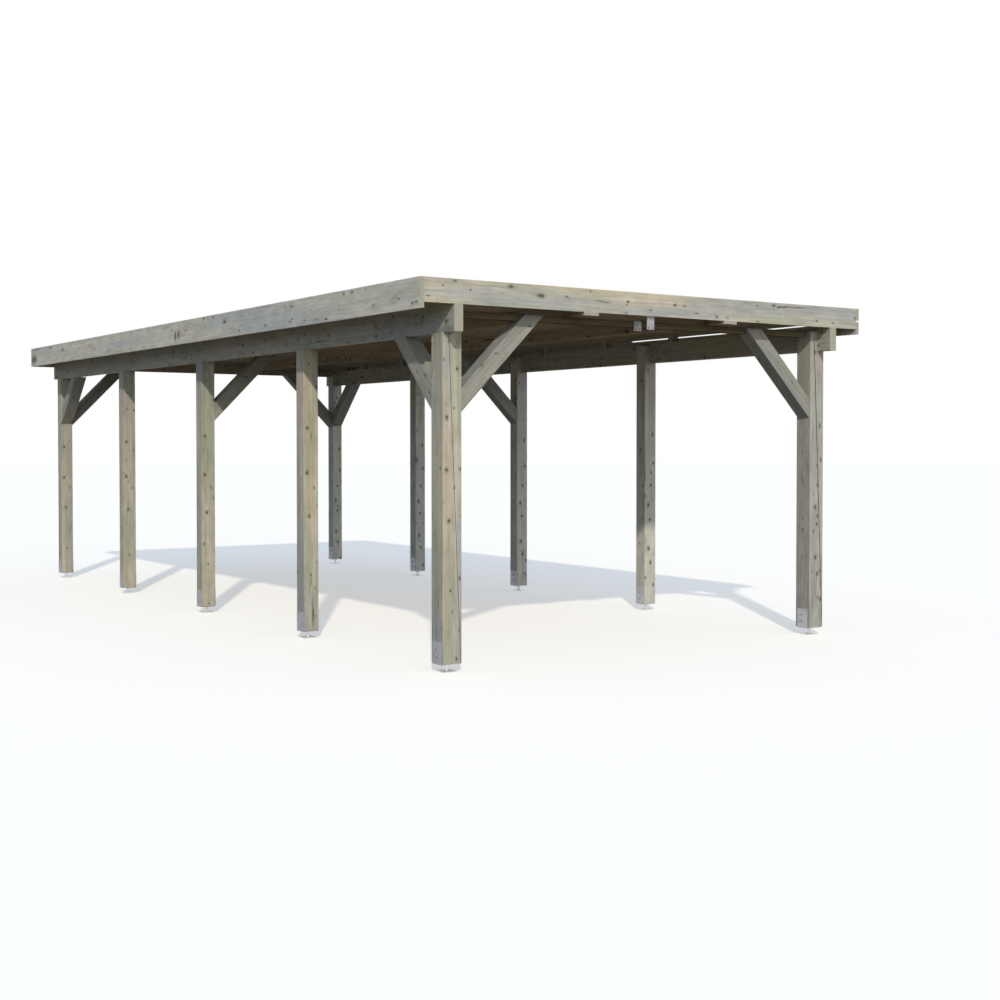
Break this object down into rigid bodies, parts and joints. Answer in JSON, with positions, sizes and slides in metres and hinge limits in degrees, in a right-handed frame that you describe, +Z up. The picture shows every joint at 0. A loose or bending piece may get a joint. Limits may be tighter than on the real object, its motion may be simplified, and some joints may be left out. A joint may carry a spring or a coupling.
{
  "type": "timber carport",
  "caption": "Long open timber carport with a flat boarded roof, deep fascia boards, knee-braced square posts in two rows and adjustable galvanised post shoes.",
  "frame": {"origin": "on the ground under the middle of the roof, at the underside of the foot plates", "axes": "+X across the bay to the right seen from the front, +Y from the front to the back along the rows of posts, +Z up"},
  "size_m": [3.87, 8.198, 2.471],
  "materials": {
    "post_timber": "planed softwood, pressure treated and weathered grey green",
    "frame_timber": "planed softwood, pressure treated and weathered",
    "fascia_boards": "planed softwood board, pressure treated",
    "roof_boards": "planed softwood boards",
    "roofing_felt": "dark mineral-surfaced sheet",
    "galvanised_steel": "hot-dip galvanised"
  },
  "bodies": {
    "root": {"beam_left": "frame_timber", "beam_packers": "frame_timber", "beam_right": "frame_timber", "cross_brace_left_back": "frame_timber", "cross_brace_left_front": "frame_timber", "cross_brace_left_middle": "frame_timber", "cross_brace_right_back": "frame_timber", "cross_brace_right_front": "frame_timber", "cross_brace_right_middle": "frame_timber", "crossbeam_back": "frame_timber", "crossbeam_front": "frame_timber", "crossbeam_middle": "frame_timber", "fascia_back": "fascia_boards", "fascia_cleats": "frame_timber", "fascia_front": "fascia_boards", "fascia_left": "fascia_boards", "fascia_right_lower": "fascia_boards", "fascia_right_upper": "fascia_boards", "long_brace_left_back": "frame_timber", "long_brace_left_front": "frame_timber", "long_brace_right_back": "frame_timber", "long_brace_right_front": "frame_timber", "midspan_lugs": "galvanised_steel", "post_left_1": "post_timber", "post_left_2": "post_timber", "post_left_3": "post_timber", "post_left_4": "post_timber", "post_left_5": "post_timber", "post_right_1": "post_timber", "post_right_2": "post_timber", "post_right_3": "post_timber", "post_right_4": "post_timber", "post_right_5": "post_timber", "purlin_left": "frame_timber", "purlin_right": "frame_timber", "roof_boards": "roof_boards", "roof_felt": "roofing_felt", "shoe_cups_left": "galvanised_steel", "shoe_cups_right": "galvanised_steel", "shoe_nuts_left": "galvanised_steel", "shoe_nuts_right": "galvanised_steel", "shoe_plates_left": "galvanised_steel", "shoe_plates_right": "galvanised_steel", "shoe_rods_left": "galvanised_steel", "shoe_rods_right": "galvanised_steel"}
  },
  "joints": []
}
